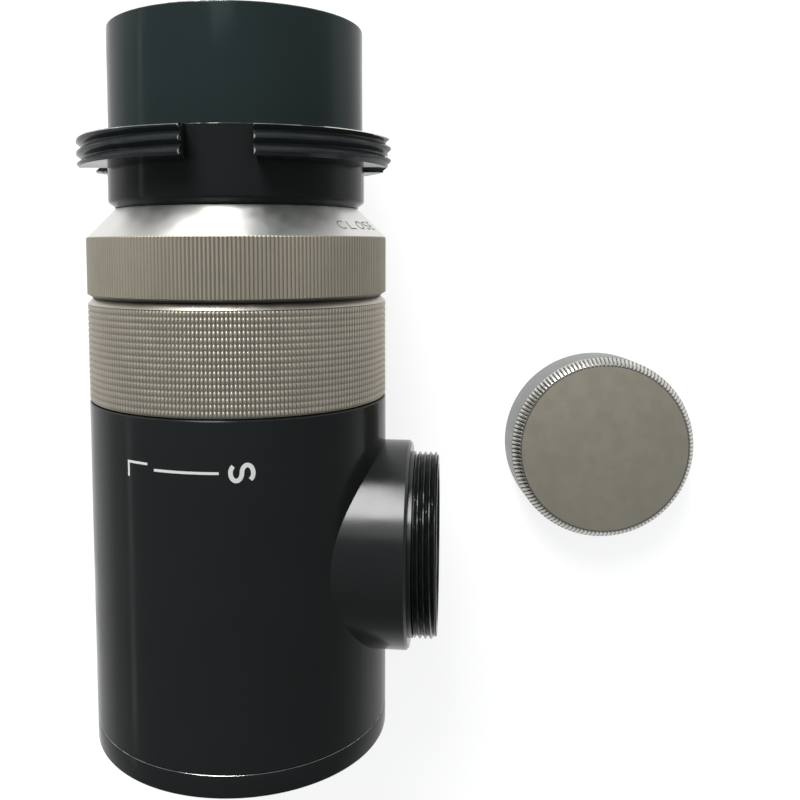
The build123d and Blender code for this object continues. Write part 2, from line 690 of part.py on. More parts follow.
with BuildPart() as nosepiece_tube:
    turn(
        BARREL,
        (JOINT_START + GAP, NOSE_BORE_R - LIP),
        (JOINT_START + GAP, JOINT_R),
        (FLANGE_END, JOINT_R),
        (FLANGE_END, NOSE_R),
        (NOSE_END - NOSE_CHAMFER, NOSE_R),
        (NOSE_END, NOSE_R - NOSE_CHAMFER),
        (NOSE_END, FILTER_THREAD_R + NOSE_CHAMFER),
        (NOSE_END - NOSE_CHAMFER, FILTER_THREAD_R),
        (FILTER_THREAD_START, FILTER_THREAD_R),
        (FILTER_THREAD_START, NOSE_BORE_R),
        (NOSE_SEAT, NOSE_BORE_R),
        (NOSE_SEAT, NOSE_BORE_R - LIP),
    )
save(nosepiece_tube, "nosepiece_tube")

with BuildPart() as nose_lens:
    turn_lens(BARREL, NOSE_SEAT, NOSE_LENS_FRONT, NOSE_BORE_R, 0, -NOSE_LENS_HOLLOW)
save(nose_lens, "nose_lens")

with BuildPart() as nose_lens_retainer:
    turn_tube(BARREL, NOSE_LENS_FRONT, NOSE_RETAINER_END, NOSE_BORE_R, NOSE_BORE_R - LIP)
save(nose_lens_retainer, "nose_lens_retainer")

# ------------------------------------------------------------------ loose cap, open side down
CAP_BEVEL_START = 9.6       # height at which the side turns in to the face
CAP_FACE_R = 19.75
CAP_ROOF = 9.4              # underside of the cap's face
CAP_BORE_R = NIPPLE_R + GAP
RIM_EDGE = 0.3
MOUTH_CHAMFER = 0.4
FIRST_GROOVE = 1.6          # height of the lowest thread groove
LINER = 0.6

with BuildPart() as port_cap:
    turn(
        CAP,
        (0, CAP_BORE_R + MOUTH_CHAMFER),
        (0, CAP_R - RIM_EDGE),
        (RIM_EDGE, CAP_R),
        (CAP_BEVEL_START, CAP_R),
        (CAP_HEIGHT, CAP_FACE_R),
        (CAP_HEIGHT, 0),
        (CAP_ROOF, 0),
        (CAP_ROOF, CAP_BORE_R),
        (MOUTH_CHAMFER, CAP_BORE_R),
    )
    for number in range(4):
        root = FIRST_GROOVE + 2 * NIPPLE_PITCH * number
        turn(
            CAP,
            (root - THREAD_HALF, CAP_BORE_R - SKIN),
            (root, CAP_BORE_R + THREAD_DEPTH),
            (root + THREAD_HALF, CAP_BORE_R - SKIN),
            mode=Mode.SUBTRACT,
        )
save(port_cap, "port_cap")

with BuildPart() as cap_liner:
    turn_tube(CAP, CAP_ROOF - LINER, CAP_ROOF, CAP_BORE_R - GAP, 0)
save(cap_liner, "cap_liner")
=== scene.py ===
import json
import math

import bmesh
import bpy
import numpy as np
from mathutils import Matrix, Vector


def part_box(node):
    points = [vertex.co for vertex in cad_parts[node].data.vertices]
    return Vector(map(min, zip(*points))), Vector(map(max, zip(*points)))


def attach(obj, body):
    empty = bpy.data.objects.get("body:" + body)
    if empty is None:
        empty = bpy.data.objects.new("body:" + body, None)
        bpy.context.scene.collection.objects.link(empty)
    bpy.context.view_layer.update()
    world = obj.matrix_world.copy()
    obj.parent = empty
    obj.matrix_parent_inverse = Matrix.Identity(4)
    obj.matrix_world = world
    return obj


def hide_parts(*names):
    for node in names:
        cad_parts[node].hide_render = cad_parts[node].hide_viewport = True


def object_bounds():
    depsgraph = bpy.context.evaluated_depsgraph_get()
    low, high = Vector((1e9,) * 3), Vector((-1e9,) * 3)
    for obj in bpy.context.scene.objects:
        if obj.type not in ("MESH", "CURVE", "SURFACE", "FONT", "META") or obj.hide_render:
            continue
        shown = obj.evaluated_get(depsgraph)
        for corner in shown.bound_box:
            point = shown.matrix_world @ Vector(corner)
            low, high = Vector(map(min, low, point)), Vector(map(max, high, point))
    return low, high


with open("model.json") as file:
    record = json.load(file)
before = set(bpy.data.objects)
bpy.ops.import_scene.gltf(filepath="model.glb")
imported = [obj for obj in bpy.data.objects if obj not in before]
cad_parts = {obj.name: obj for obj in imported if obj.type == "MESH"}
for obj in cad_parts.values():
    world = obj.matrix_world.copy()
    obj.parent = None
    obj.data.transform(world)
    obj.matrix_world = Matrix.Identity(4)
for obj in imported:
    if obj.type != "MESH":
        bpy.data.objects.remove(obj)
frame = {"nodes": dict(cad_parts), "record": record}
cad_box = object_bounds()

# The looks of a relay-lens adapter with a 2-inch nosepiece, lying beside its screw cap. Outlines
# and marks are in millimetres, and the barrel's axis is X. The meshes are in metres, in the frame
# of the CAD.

MM = 0.001
MOUNTS = {mount["name"]: mount for mount in frame["record"]["mounts"]}
SLOT_OF = {part["node"]: part["material_slot"] for part in frame["record"]["subparts"]}
BODIES = frame["record"]["behaviour"]["bodies"]
BODY_OF = {node: body for body, nodes in BODIES.items() for node in nodes}


# ---------------------------------------------------------------- sizes, read from the frame
def ends(node):
    """Where a node of the barrel begins and ends along X."""
    low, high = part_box(node)
    return low.x / MM, high.x / MM


def reach(node):
    """The outer radius of a node that is round about the barrel's axis."""
    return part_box(node)[1].y / MM


REAR_BOSS_END = ends("rear_end_ring")[1]
BODY_START = ends("main_barrel")[0]
ADJUST_START, ADJUST_END = ends("adjust_ring")
LOCK_START, LOCK_END = ends("lock_ring")
SPIGOT_START, FLANGE_END = ends("nosepiece_base")
TUBE_START, NOSE_END = ends("nosepiece_tube")
BODY_R = reach("main_barrel")
NOSE_R = reach("nosepiece_tube")
SLEEVE_R = reach("cam_sleeve")

PORT_TIP = Vector(MOUNTS["side_port_bore"]["pos_m"])
PORT_AXIS = Vector(MOUNTS["side_port_bore"]["axis"])
NIPPLE_END = Vector((0, PORT_TIP.y, PORT_TIP.z)).length / MM
NIPPLE_R = (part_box("side_port_nipple")[1].x - PORT_TIP.x) / MM

REAR_THREAD_R = MOUNTS["rear_thread"]["dims"]["r_mm"]
REAR_LENS_R = reach("rear_lens")
FILTER_R = MOUNTS["filter_thread"]["dims"]["r_mm"]

CAP_LOW, CAP_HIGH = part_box("port_cap")
CAP_FOOT = ((CAP_LOW.x + CAP_HIGH.x) / 2, (CAP_LOW.y + CAP_HIGH.y) / 2, CAP_LOW.z)
CAP_R = (CAP_HIGH.x - CAP_LOW.x) / 2 / MM
CAP_HEIGHT = (CAP_HIGH.z - CAP_LOW.z) / MM


# ---------------------------------------------------------------- turned meshes
class Section:
    """A turning axis. Angles start at the direction u and go from it towards v."""

    def __init__(self, origin, axis, u):
        self.origin = np.array(origin, float)
        self.axis = np.array(axis, float)
        self.u = np.array(u, float)
        self.v = np.cross(self.axis, self.u)

    def points(self, along, radius, angle):
        out = np.cos(angle)[..., None] * self.u + np.sin(angle)[..., None] * self.v
        return self.origin + MM * (along[..., None] * self.axis + radius[..., None] * out)


BARREL = Section((0, 0, 0), (1, 0, 0), (0, 1, 0))
PORT = Section((PORT_TIP.x, 0, 0), PORT_AXIS, (1, 0, 0))
CAP = Section(CAP_FOOT, (0, 0, 1), (1, 0, 0))
TURN = 2 * math.pi
ROUND = np.linspace(0, TURN, 360, endpoint=False)[None, :]      # columns of a plain turned piece
SHARP = math.radians(30)    # faces that meet at more than this show a crease
WELD = 2e-6                 # metres: nearer points become one


def rounded(outline):
    """Rows of (distance, radius, wear) for an open run of (distance, radius, rounding) corners.

    Each inner corner with a rounding becomes a small arc, and wear is 1 in the middle of it.
    """
    rows = []
    for number, corner in enumerate(outline):
        here = Vector(corner[:2])
        if len(corner) < 3 or number in (0, len(outline) - 1):
            rows.append((here.x, here.y, 0.0))
            continue
        before = Vector(outline[number - 1][:2]) - here
        after = Vector(outline[number + 1][:2]) - here
        for part in (0, 0.25, 0.5, 0.75, 1):
            place = here + before.normalized() * corner[2] * (1 - part) ** 2
            place += after.normalized() * corner[2] * part**2
            rows.append((place.x, place.y, 1 - abs(2 * part - 1)))
    return rows


def link(name, data):
    """A new object of the scene."""
    thing = bpy.data.objects.new(name, data)
    bpy.context.scene.collection.objects.link(thing)
    return thing


def add_mesh(name, points, faces, wear_and_shade=None, sharp=SHARP):
    """A tidied mesh object, smooth but for its creases, with the wear as a point attribute, which
    also holds painted shade in the roots of knurling.
    """
    mesh = bpy.data.meshes.new(name)
    mesh.from_pydata(points.tolist(), [], faces)
    if wear_and_shade is not None:
        mesh.attributes.new("wear_and_shade", "FLOAT", "POINT").data.foreach_set("value", wear_and_shade)
    work = bmesh.new()
    work.from_mesh(mesh)
    bmesh.ops.remove_doubles(work, verts=work.verts, dist=WELD)
    bmesh.ops.recalc_face_normals(work, faces=work.faces)
    work.to_mesh(mesh)
    work.free()
    mesh.shade_smooth()
    mesh.set_sharp_from_angle(angle=sharp)
    return link(name, mesh)


def skin(name, section, along, radius, angle, wear_and_shade, closed=True, sharp=SHARP):
    """A piece from a grid whose rows follow the outline and whose columns go round the axis.

    Where closed is true the last row is joined to the first, as in a ring.
    """
    along, radius, angle, wear_and_shade = np.broadcast_arrays(along, radius, angle, wear_and_shade)
    rows, columns = radius.shape
    index = np.arange(rows * columns).reshape(rows, columns)
    below = np.roll(index, -1, axis=0)
    faces = np.stack((index, np.roll(index, -1, axis=1), np.roll(below, -1, axis=1), below), -1)
    if not closed:
        faces = faces[:-1]
    points = section.points(along, radius, angle).reshape(-1, 3)
    return add_mesh(name, points, faces.reshape(-1, 4).tolist(), wear_and_shade.reshape(-1), sharp)


def stack(columns, *parts):
    """Join grids of rows one after another. Each part is (along, radius, wear), where the wear also
    holds painted shade in the roots of knurling.
    """
    shaped = [[np.broadcast_to(grid, (len(grid), columns)) for grid in part] for part in parts]
    return [np.concatenate(grids) for grids in zip(*shaped)]


def shape(name, section, *parts, angle=ROUND, closed=True, sharp=SHARP):
    """A piece whose rows come from several parts in turn."""
    along, radius, wear_and_shade = stack(angle.shape[1], *parts)
    return skin(name, section, along, radius, angle, wear_and_shade, closed, sharp)


def plain(outline):
    """A part for stack(), from an open run of corners."""
    return [np.array(column)[:, None] for column in zip(*rounded(outline))]


def toothed(stations, crest_r, root_r, teeth):
    """A part for stack(): rows of teeth between a root radius and a crest radius. Their wear
    follows the height of the teeth, so the roots get painted shade.
    """
    along, crest, root = (np.array(row, float)[:, None] for row in (stations, crest_r, root_r))
    return along, root + (crest - root) * teeth, 0.15 + 0.85 * teeth + 0 * along


def columns_for(teeth, columns_each):
    """The angle of every column where each tooth has a few of them."""
    count = columns_each * teeth
    return ((np.arange(count) + 0.5) * TURN / count)[None, :]


def thread(stations, angle, crest_r, depth, pitch, ease, first_crest=0.0):
    """A part for stack(): a helical V thread, cut inwards, or outwards where depth is negative.

    It fades out over the distance ease at both ends. At the angle 0 a crest is at first_crest.
    """
    flat = 0.12             # how much higher sharp crests would be, as a share of the depth
    stations = stations[:, None]
    phase = ((stations - first_crest) / pitch - angle / TURN) % 1.0
    cut = np.clip((1 + flat) * (1 - np.abs(2 * phase - 1)) - flat, 0, 1)
    near_end = np.minimum(stations - stations.min(), stations.max() - stations)
    fade = np.clip(near_end / ease, 0, 1)
    radius = crest_r - depth * (1 - fade * (1 - cut))
    return stations, radius, 0 * radius


# ---------------------------------------------------------------- camera, floor and light
def aim(thing, place, forward, up):
    """Put a camera or light at a place, looking forward."""
    forward = Vector(forward).normalized()
    right = forward.cross(Vector(up)).normalized()
    turn = Matrix((right, right.cross(forward), -forward)).transposed()
    thing.matrix_world = Matrix.Translation(place) @ turn.to_4x4()


camera = link("camera", bpy.data.cameras.new("camera"))
camera.data.lens = 40.143
camera.data.shift_x = 0.0695
camera.data.shift_y = -0.0993
camera.data.clip_start = 0.01
aim(
    camera,
    place=(0.09934, -0.02162, 0.18360),
    forward=(-0.081526, 0, -0.996671),
    up=(0.996667, -0.002937, -0.081526),
)
bpy.context.scene.camera = camera
bpy.context.scene.view_settings.view_transform = "Standard"

FLOOR_Z = cad_box[0].z
FLOOR_REACH = 3             # metres from the origin to each side
floor_corners = [
    (x * FLOOR_REACH, y * FLOOR_REACH, FLOOR_Z) for x, y in ((-1, -1), (1, -1), (1, 1), (-1, 1))
]
floor_mesh = bpy.data.meshes.new("floor")
floor_mesh.from_pydata(floor_corners, [], [(0, 1, 2, 3)])
floor = link("floor", floor_mesh)


MIDDLE = Vector((0.07, -0.03, 0))


def panel(name, place, size, power):
    """A soft rectangular light that faces the middle of the set, with a power in watts."""
    lamp = link(name, bpy.data.lights.new(name, "AREA"))
    lamp.data.shape = "RECTANGLE"
    lamp.data.size, lamp.data.size_y = size
    lamp.data.energy = power
    aim(lamp, place, MIDDLE - Vector(place), (0, 0, 1))


panel("window", (1.12, 0.291, 0.597), (0.486, 0.88), 25.5)
panel("window_top", (0.71, 0.13, 1.06), (0.38, 0.44), 0.9)
panel("left_strip", (0.1, 1.25, 0.14), (1.6, 0.07), 0.6)

# The room is a pale grey, a little darker overhead and behind the rear end of the barrel.
world = bpy.data.worlds.new("studio")
world.use_nodes = True
bpy.context.scene.world = world
sky = world.node_tree
background = sky.nodes["Background"]
direction = sky.nodes.new("ShaderNodeTexCoord")
axes = sky.nodes.new("ShaderNodeSeparateXYZ")
grey = sky.nodes.new("ShaderNodeValToRGB")
grey.color_ramp.elements[0].position = 0.02
grey.color_ramp.elements[0].color = (0.5, 0.5, 0.5, 1)
grey.color_ramp.elements[1].position = 0.35
grey.color_ramp.elements[1].color = (0.36, 0.385, 0.39, 1)
behind = sky.nodes.new("ShaderNodeMapRange")
behind.inputs["From Min"].default_value = -0.8
behind.inputs["From Max"].default_value = -0.1
behind.inputs["To Min"].default_value = 0.7
sky.links.new(direction.outputs["Generated"], axes.inputs[0])
sky.links.new(axes.outputs["Z"], grey.inputs[0])
sky.links.new(grey.outputs[0], background.inputs["Color"])
sky.links.new(axes.outputs["X"], behind.inputs[0])
sky.links.new(behind.outputs[0], background.inputs["Strength"])


# ---------------------------------------------------------------- finishes
class Paint:
    """A material built around one Principled shader. Texture sizes are in metres."""

    def __init__(self, name, **constants):
        self.material = bpy.data.materials.new(name)
        self.material.use_nodes = True
        self.nodes = self.material.node_tree.nodes
        self.shader = self.nodes["Principled BSDF"]
        self.place = self.node("TexCoord").outputs["Object"]
        self.set(**constants)

    def set(self, **values):
        """Set sockets of the shader, named as keywords, to a constant or another node's output."""
        for key, value in values.items():
            socket = key.replace("_", " ").title().replace("Ior", "IOR")
            self.feed(self.shader.inputs[socket], value)

    def feed(self, socket, value):
        if isinstance(value, bpy.types.NodeSocket):
            self.material.node_tree.links.new(value, socket)
        else:
            socket.default_value = value

    def node(self, kind, inputs=(), **settings):
        made = self.nodes.new("ShaderNode" + kind)
        for key, value in settings.items():
            setattr(made, key, value)
        for key, value in dict(inputs).items():
            self.feed(made.inputs[key], value)
        return made

    def vector_maths(self, operation, first, second, output="Vector"):
        return self.node("VectorMath", {0: first, 1: second}, operation=operation).outputs[output]

    def maths(self, operation, first, second=0.0, third=0.0):
        return self.node("Math", {0: first, 1: second, 2: third}, operation=operation).outputs[0]

    # The wear attribute, which on knurling also carries painted shade in the roots.
    def wear_and_shade(self):
        return self.node("Attribute", attribute_name="wear_and_shade").outputs["Fac"]

    def noise(self, size, detail=2.0):
        """Noise whose features are about size metres."""
        place = self.vector_maths("MULTIPLY", self.place, [1 / size] * 3)
        inputs = {"Vector": place, "Scale": 1.0, "Detail": detail}
        return self.node("TexNoise", inputs).outputs["Fac"]

    def lines(self, axis, size):
        """Turning marks: noise that only changes along an axis."""
        along = self.vector_maths("DOT_PRODUCT", self.place, axis, "Value")
        inputs = {"W": self.maths("MULTIPLY", along, 1 / size), "Scale": 1.0, "Detail": 1.0}
        return self.node("TexNoise", inputs, noise_dimensions="1D").outputs["Fac"]

    def step(self, value, low, high, start=0.0, end=1.0):
        """A smooth step from start to end as a value goes from low to high."""
        inputs = {0: value, 1: low, 2: high, 3: start, 4: end}
        return self.node("MapRange", inputs, interpolation_type="SMOOTHSTEP").outputs[0]

    def specks(self, spacing, size, share):
        """Dust: dots of a size in metres, in a share of cells that are about a spacing wide."""
        cells = self.node("TexVoronoi", {"Vector": self.place, "Scale": 1 / spacing})
        near = self.step(cells.outputs["Distance"], size / spacing, size / spacing * 0.5)
        pick = self.node("SeparateColor", {0: cells.outputs["Color"]}).outputs[0]
        return self.maths("MULTIPLY", near, self.step(pick, share, share - 0.02))

    def blend(self, factor, first, second):
        mixed = self.node("Mix", {"Factor": factor}, data_type="RGBA")
        self.feed(mixed.inputs[6], (*first, 1) if isinstance(first, tuple) else first)
        self.feed(mixed.inputs[7], (*second, 1) if isinstance(second, tuple) else second)
        return mixed.outputs[2]

    def bump(self, depth, *heights):
        """Bumps of a depth in metres, one on another."""
        for relief in heights:
            inputs = {"Height": relief, "Distance": depth, "Strength": 1.0}
            if self.shader.inputs["Normal"].is_linked:
                inputs["Normal"] = self.shader.inputs["Normal"].links[0].from_socket
            self.set(normal=self.node("Bump", inputs).outputs[0])


def black_finish(
    name,
    axis,
    first,
    second,
    bare=(0.42, 0.42, 0.4),
    specular=0.2,
    tint=0.25,
    metal=0.3,
    rough=0.14,
):
    """Semi-gloss black anodising with turning marks, dust, and edges worn to the bare metal.

    A tint below 1 and some metal keep its sides dark where they are seen edge on.
    """
    paint = Paint(name, specular_ior_level=specular, specular_tint=(tint, tint, tint, 1))
    black = paint.blend(paint.noise(0.02), first, second)
    dust = paint.specks(0.006, 0.00013, 0.12)
    wear_and_shade = paint.maths("MULTIPLY", paint.wear_and_shade(), 0.8)
    worn = paint.step(paint.maths("MULTIPLY_ADD", paint.noise(0.0012), 0.6, wear_and_shade), 0.82, 1.0)
    colour = paint.blend(dust, paint.blend(worn, black, bare), (0.3, 0.3, 0.29))
    paint.set(base_color=colour, metallic=paint.maths("MAXIMUM", worn, metal))
    paint.set(roughness=paint.step(paint.noise(0.012, 4.0), 0.35, 0.7, rough, rough + 0.08))
    paint.bump(0.0000015, paint.lines(axis, 0.0004))
    paint.bump(0.000002, paint.noise(0.0003))
    return paint.material


def silver_finish(name, axis, dark, bright, roughness, **constants):
    """Satin aluminium, dark where the wear is 0, in the roots of knurling, as painted shade with
    some grime, and bright at 1, on crests and worn edges.
    """
    paint = Paint(name, metallic=1.0, **constants)
    colour = paint.blend(paint.wear_and_shade(), dark, bright)
    stain = paint.step(paint.noise(0.008, 4.0), 0.35, 0.7, 0.0, 0.12)
    colour = paint.blend(stain, colour, tuple(0.8 * part for part in dark))
    patches = paint.step(paint.noise(0.003), 0.3, 0.7, roughness - 0.03, roughness + 0.03)
    paint.set(base_color=colour, roughness=patches)
    paint.bump(0.000004, paint.lines(axis, 0.0003), paint.noise(0.0002))
    return paint.material


def plain_finish(name, first, second, grain, depth, roughness, **constants):
    """A mottled finish: two colours in clouds, over a grain of a size and depth in metres."""
    paint = Paint(name, **constants)
    patches = paint.step(paint.noise(grain * 6), 0.3, 0.7, roughness - 0.05, roughness + 0.05)
    clouds = paint.blend(paint.noise(grain * 12, 3.0), first, second)
    paint.set(base_color=clouds, roughness=patches)
    paint.bump(depth, paint.noise(grain))
    return paint.material


def glass_finish(name):
    """Clear coated glass, with a few specks of dust on it."""
    paint = Paint(name, transmission_weight=1.0, ior=1.52)
    paint.set(thin_film_thickness=110.0, thin_film_ior=1.38)
    dust = paint.specks(0.003, 0.00008, 0.2)
    paint.set(base_color=paint.blend(dust, (0.93, 0.97, 0.95), (0.6, 0.6, 0.58)))
    paint.set(roughness=paint.maths("MULTIPLY", dust, 0.5))
    return paint.material


X_AXIS = (1, 0, 0)
Z_AXIS = (0, 0, 1)
BLACK = black_finish("black_barrel", X_AXIS, (0.0145, 0.016, 0.0162), (0.0185, 0.0205, 0.021))
BLACK_PORT = black_finish(
    "black_port",
    PORT_AXIS,
    (0.004, 0.005, 0.005),
    (0.006, 0.007, 0.007),
    specular=0.42,
    tint=1.0,
    metal=0.0,
    rough=0.19,
)
# A lighter copy of the black for the flange's thread: painted light that evens out the shade on its
# flanks, with brighter bare metal where it is worn.
BLACK_THREAD_PAINTED_LIGHT = black_finish(
    "black_thread_painted_light", X_AXIS, (0.024, 0.028, 0.029), (0.034, 0.039, 0.04), bare=(0.85, 0.85, 0.8)
)
BLACK_TUBE = black_finish("black_tube", X_AXIS, (0.018, 0.026, 0.026), (0.024, 0.034, 0.034))
# On the knurled rings the dark colour lies in the roots of the teeth and bumps, as painted shade
# with some grime.
SILVER = silver_finish("silver_knurl", X_AXIS, (0.28, 0.25, 0.195), (0.4, 0.365, 0.3), 0.58)
SILVER_BUMPS = silver_finish("silver_bumps", X_AXIS, (0.27, 0.24, 0.195), (0.58, 0.53, 0.45), 0.44)
SILVER_EDGE = silver_finish("silver_edge", X_AXIS, (0.4, 0.38, 0.33), (0.4, 0.38, 0.33), 0.35)
SILVER_CONE = silver_finish(
    "silver_cone",
    X_AXIS,
    (0.7, 0.7, 0.67),
    (0.76, 0.76, 0.73),
    0.42,
    anisotropic=0.65,
    anisotropic_rotation=0.25,
)
cone_nodes = SILVER_CONE.node_tree.nodes
tangent = cone_nodes.new("ShaderNodeTangent")
tangent.axis = "X"
SILVER_CONE.node_tree.links.new(tangent.outputs[0], cone_nodes["Principled BSDF"].inputs["Tangent"])
SILVER_CAP = silver_finish("silver_cap", Z_AXIS, (0.46, 0.415, 0.34), (0.46, 0.415, 0.34), 0.5)
# The cap's toothed bevel: its near-white crests are a painted highlight and its near-black roots
# painted shade.
SILVER_RIM_PAINTED_LIGHT = silver_finish("silver_rim_painted_light", Z_AXIS, (0.08, 0.076, 0.066), (0.6, 0.59, 0.56), 0.33)
# A darker copy of the cap's silver for its side: painted shade.
SILVER_SKIRT_PAINTED_SHADE = silver_finish("silver_skirt_painted_shade", Z_AXIS, (0.22, 0.227, 0.22), (0.22, 0.227, 0.22), 0.45)

# name: two colours, size and depth of the grain, roughness, other constants
PLAIN_FINISHES = {
    "black_inner": ((0.012, 0.012, 0.012), (0.02, 0.02, 0.02), 0.0004, 0.00001, 0.6, {}),
    "brass": ((0.62, 0.44, 0.19), (0.72, 0.54, 0.26), 0.0003, 0.000004, 0.3, {"metallic": 1.0}),
    "steel": ((0.42, 0.42, 0.42), (0.55, 0.55, 0.54), 0.0003, 0.000004, 0.3, {"metallic": 1.0}),
    "black_rubber": ((0.018, 0.018, 0.018), (0.028, 0.028, 0.027), 0.0005, 0.00002, 0.65, {}),
    "black_plastic": ((0.02, 0.02, 0.02), (0.03, 0.03, 0.03), 0.0005, 0.00001, 0.5, {}),
    "felt": ((0.02, 0.02, 0.021), (0.05, 0.05, 0.05), 0.0005, 0.0001, 0.9, {"sheen_weight": 0.5}),
    "white_paint": ((0.5, 0.5, 0.49), (0.66, 0.66, 0.64), 0.0005, 0.000004, 0.5, {}),
    # Dark strips for the engraved words: painted shade of the engraving.
    "dark_filling": ((0.11, 0.11, 0.1), (0.24, 0.235, 0.21), 0.0004, 0.000004, 0.55, {}),
}
FINISHES = {
    "black_anodised": BLACK,
    "silver_knurl": SILVER,
    "silver_cap": SILVER_CAP,
    "lens_glass": glass_finish("lens_glass"),
}
for name, (*look, constants) in PLAIN_FINISHES.items():
    FINISHES[name] = plain_finish(name, *look, **constants)


def glowing_paper_finish(name):
    """White paper that glows, brightest round the middle of the set and less away from it: a
    painted pool of light that also washes out the shadows on it.
    """
    paint = Paint(name, roughness=0.8, emission_color=(1, 1, 1, 1))
    fibres = paint.blend(paint.noise(0.24, 3.0), (0.24, 0.24, 0.24), (0.26, 0.26, 0.26))
    away = paint.vector_maths("DISTANCE", paint.place, (0.105, -0.045, FLOOR_Z), "Value")
    paint.set(base_color=fibres, emission_strength=paint.step(away, 0.15, 0.32, 0.83, 0.43))
    return paint.material


floor_mesh.materials.append(glowing_paper_finish("floor"))

for name, node in frame["nodes"].items():
    node.data.materials.clear()
    node.data.materials.append(FINISHES[SLOT_OF[name]])
for name in ("side_port_collar", "side_port_nipple"):
    frame["nodes"][name].data.materials[0] = BLACK_PORT
frame["nodes"]["nosepiece_tube"].data.materials[0] = BLACK_TUBE
frame["nodes"]["adjust_ring"].data.materials[0] = SILVER_BUMPS


def stand_for(node, piece):
    """Show a detailed piece in place of a CAD node. Some of the node's hidden cuts are left out."""
    if not piece.data.materials:
        piece.data.materials.append(frame["nodes"][node].data.materials[0])
    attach(piece, BODY_OF[node])
    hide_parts(node)


def repaint(piece, finish, chosen):
    """Give another finish to the faces of a piece whose centre is chosen."""
    piece.data.materials.append(finish)
    for face in piece.data.polygons:
        if chosen(face.center):
            face.material_index = len(piece.data.materials) - 1


# ---------------------------------------------------------------- rear end and side port
FINE_PITCH = 0.75           # of the threads for filters, in the rear end and the nosepiece
PORT_PITCH = 1.1            # of the side port and its cap
FADE = 0.4                  # length over which a thread runs out
LIP = 1.5                   # height of the lip that a lens stands on

BOSS_WALL = 4               # from the barrel's surface to the boss that screws into it
REAR_LENS_SEAT = 8
REAR_LENS_BACK = 7
rear_outside = [
    (0, REAR_THREAD_R + 0.9),
    (0, BODY_R, 0.5),
    (BODY_START, BODY_R, 0.2),
    (BODY_START, BODY_R - BOSS_WALL),
    (REAR_BOSS_END, BODY_R - BOSS_WALL - 0.1),
    (REAR_BOSS_END, REAR_LENS_R),
    (REAR_LENS_SEAT, REAR_LENS_R),
    (REAR_LENS_SEAT, REAR_LENS_R - LIP),
    (REAR_LENS_BACK, REAR_LENS_R - LIP),
    (REAR_LENS_BACK, REAR_THREAD_R),
]
rear_stations = np.linspace(REAR_LENS_BACK - FADE, 0.45, 90)
rear_end = shape(
    "rear_end_ring_detail",
    BARREL,
    plain(rear_outside),
    thread(rear_stations, ROUND, REAR_THREAD_R, -0.45, FINE_PITCH, FADE),
)
stand_for("rear_end_ring", rear_end)

NIPPLE_SEAT = 33            # distances from the barrel's axis
WINDOW_SEAT = 34
COLLAR_END = 35.5
THREAD_START = 36.3
MOUTH_START = 37.5
MOUTH_R = 16.3
WINDOW_R = 15.8
WINDOW_LIP_R = 14.4
NIPPLE_ROOT_R = 17.2        # of the part that screws into the collar
nipple_inside = [
    (NIPPLE_END, NIPPLE_R - 0.55, 0.15),
    (NIPPLE_END, MOUTH_R, 0.15),
    (MOUTH_START, MOUTH_R),
    (MOUTH_START, WINDOW_R),
    (WINDOW_SEAT, WINDOW_R),
    (WINDOW_SEAT, WINDOW_LIP_R),
    (NIPPLE_SEAT, WINDOW_LIP_R),
    (NIPPLE_SEAT, NIPPLE_ROOT_R),
    (COLLAR_END, NIPPLE_ROOT_R),
    (COLLAR_END, NIPPLE_R),
    (THREAD_START - 0.05, NIPPLE_R),
]
nipple_stations = np.linspace(THREAD_START, NIPPLE_END - 0.1, 90)
nipple = shape(
    "side_port_nipple_detail",
    PORT,
    thread(nipple_stations, ROUND, NIPPLE_R, 0.7, PORT_PITCH, 0.35, first_crest=NIPPLE_END - 0.5),
    plain(nipple_inside),
)
stand_for("side_port_nipple", nipple)


# ---------------------------------------------------------------- grip rings
# Both rings are plain inside. The CAD's three keyways for the cam pins and its slot for the stop
# pin are left out, so those hidden pins stand in the rings' metal here.
TEETH = 252
FLAT_TOOTH = (0.0, 1.0, 1.0)            # heights of the columns of a straight tooth
DOME = (0.0, 0.8, 1.0, 0.8)             # heights of the columns of a bump
LONG_DOME = (0.12, 0.84, 1.0, 0.84)     # heights of the rows of a bump
ROWS_OF_BUMPS = 16
KNURL_DEPTH = 0.24
KNURL_ROOT_R = BODY_R - KNURL_DEPTH
ADJUST_CHAMFER = 1.2
HAIR = 0.02                             # between the last row of one part and the next part
SLEEVE_HOLE_R = SLEEVE_R + 0.05

bumps_start = ADJUST_START + 0.15
bumps_end = ADJUST_END - ADJUST_CHAMFER - 0.05
row_length = (bumps_end - bumps_start) / ROWS_OF_BUMPS
bump_rows = np.arange(len(LONG_DOME) * ROWS_OF_BUMPS)[:, None] / len(LONG_DOME)
tops = np.tile(LONG_DOME, ROWS_OF_BUMPS)[:, None] * np.tile(DOME, TEETH)[None, :]
adjust_rear = [
    (ADJUST_START, SLEEVE_HOLE_R),
    (ADJUST_START, KNURL_ROOT_R, 0.1),
    (bumps_start - HAIR, KNURL_ROOT_R),
]
adjust_front = [
    (bumps_end, KNURL_ROOT_R),
    (bumps_end + HAIR, BODY_R - HAIR),
    (ADJUST_END, BODY_R - ADJUST_CHAMFER, 0.12),
    (ADJUST_END, SLEEVE_HOLE_R),
]
# The heights of the bumps also serve as their wear, so the dark colour paints shade into their
# roots.
adjust = shape(
    "adjust_ring_detail",
    BARREL,
    plain(adjust_rear),
    (bumps_start + bump_rows * row_length, BODY_R - KNURL_DEPTH * (1 - tops), tops),
    plain(adjust_front),
    angle=columns_for(TEETH, len(DOME)),
    sharp=math.radians(50),
)
stand_for("adjust_ring", adjust)
repaint(adjust, SILVER_EDGE, lambda centre: centre.x > (bumps_end + HAIR / 2) * MM)

